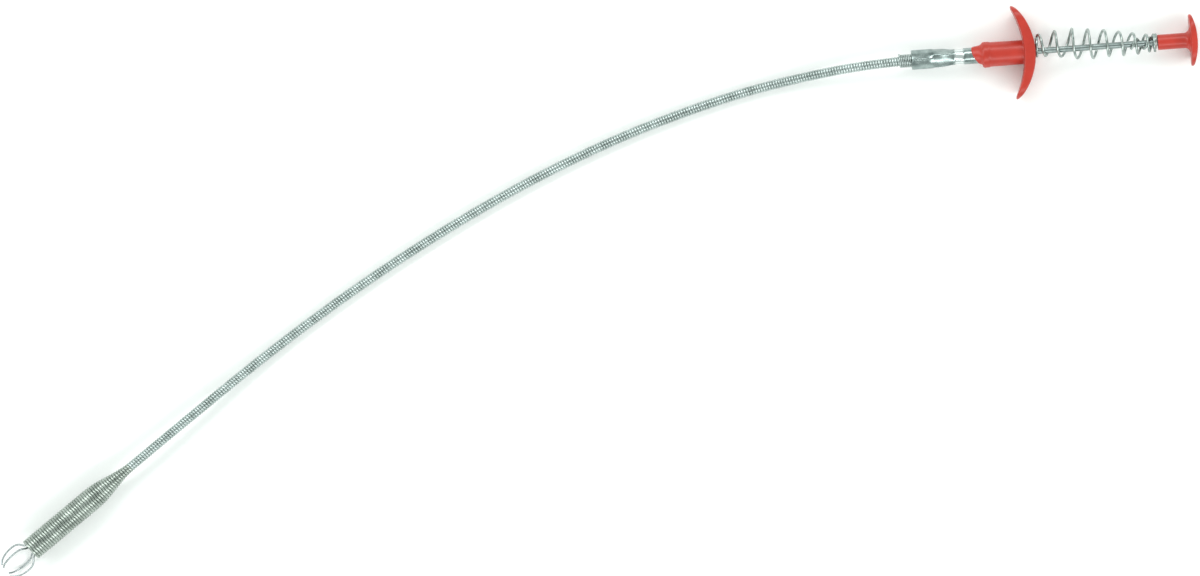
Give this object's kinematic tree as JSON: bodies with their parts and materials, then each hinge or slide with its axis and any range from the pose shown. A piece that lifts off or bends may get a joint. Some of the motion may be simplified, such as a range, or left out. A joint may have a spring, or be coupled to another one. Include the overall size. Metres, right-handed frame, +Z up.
{
  "type": "drain auger",
  "caption": "Flexible claw pick-up drain auger: thumb plunger with return spring, finger grip, long coiled-wire hose, sprung wire claws at a flared mouth.",
  "frame": {"origin": "on the table that the tool lies on, under the finger wings, just behind their face", "axes": "+X along the handle, out through the thumb button; +Z up from the table; the hose leaves along -X and bends towards -Y"},
  "size_m": [0.5593, 0.2272, 0.0151],
  "materials": {
    "red_plastic": "moulded gloss red",
    "plated_steel": "bright zinc-plated tube",
    "hose_wire": "zinc-plated drawn wire",
    "spring_wire": "zinc-plated spring wire",
    "claw_wire": "bright spring steel",
    "cable_steel": "stranded steel cable"
  },
  "bodies": {
    "grip": {"finger_grip": "red_plastic", "ferrule_tube": "plated_steel", "shaft_end_wrap": "hose_wire", "flexible_shaft": "hose_wire", "mouth_coil": "hose_wire", "cable_run": "cable_steel", "return_spring": "spring_wire"},
    "plunger": {"thumb_button": "red_plastic", "plunger_rod": "plated_steel", "cable_crimp": "plated_steel", "cable_handle_end": "cable_steel"},
    "claw_carriage": {"claw_sleeve": "plated_steel", "cable_claw_end": "cable_steel"},
    "claw_1": {"claw_1": "claw_wire"},
    "claw_2": {"claw_2": "claw_wire"},
    "claw_3": {"claw_3": "claw_wire"},
    "claw_4": {"claw_4": "claw_wire"}
  },
  "joints": [
    {"name": "plunger_slide", "type": "slide", "parent": "grip", "child": "plunger", "axis": [-1, 0, 0], "range_m": [0, 0.022], "stiffness_N_per_m": 350, "springref_m": -0.012, "deforming": ["return_spring"]},
    {"name": "claws_slide", "type": "slide", "parent": "grip", "child": "claw_carriage", "axis": [-0.8119, -0.5838, 0], "range_m": [0, 0.022]},
    {"name": "claw_1_swing", "type": "hinge", "parent": "claw_carriage", "child": "claw_1", "pos_m": [-0.44104, -0.17424, 0.00747], "axis": [-0.2741, 0.3811, 0.8829], "range_deg": [0, 10.01]},
    {"name": "claw_2_swing", "type": "hinge", "parent": "claw_carriage", "child": "claw_2", "pos_m": [-0.44183, -0.17314, 0.00788], "axis": [-0.5155, 0.7168, -0.4695], "range_deg": [0, 10.01]},
    {"name": "claw_3_swing", "type": "hinge", "parent": "claw_carriage", "child": "claw_3", "pos_m": [-0.44207, -0.1728, 0.00653], "axis": [0.2741, -0.3811, -0.8829], "range_deg": [0, 10.01]},
    {"name": "claw_4_swing", "type": "hinge", "parent": "claw_carriage", "child": "claw_4", "pos_m": [-0.44128, -0.1739, 0.00612], "axis": [0.5155, -0.7168, 0.4695], "range_deg": [0, 10.01]}
  ],
  "couplings": [
    {"joint": "claws_slide", "follows": "plunger_slide", "ratio": 1},
    {"joint": "claw_1_swing", "follows": "plunger_slide", "rad_per_m": 7.9333},
    {"joint": "claw_2_swing", "follows": "plunger_slide", "rad_per_m": 7.9333},
    {"joint": "claw_3_swing", "follows": "plunger_slide", "rad_per_m": 7.9333},
    {"joint": "claw_4_swing", "follows": "plunger_slide", "rad_per_m": 7.9333}
  ]
}
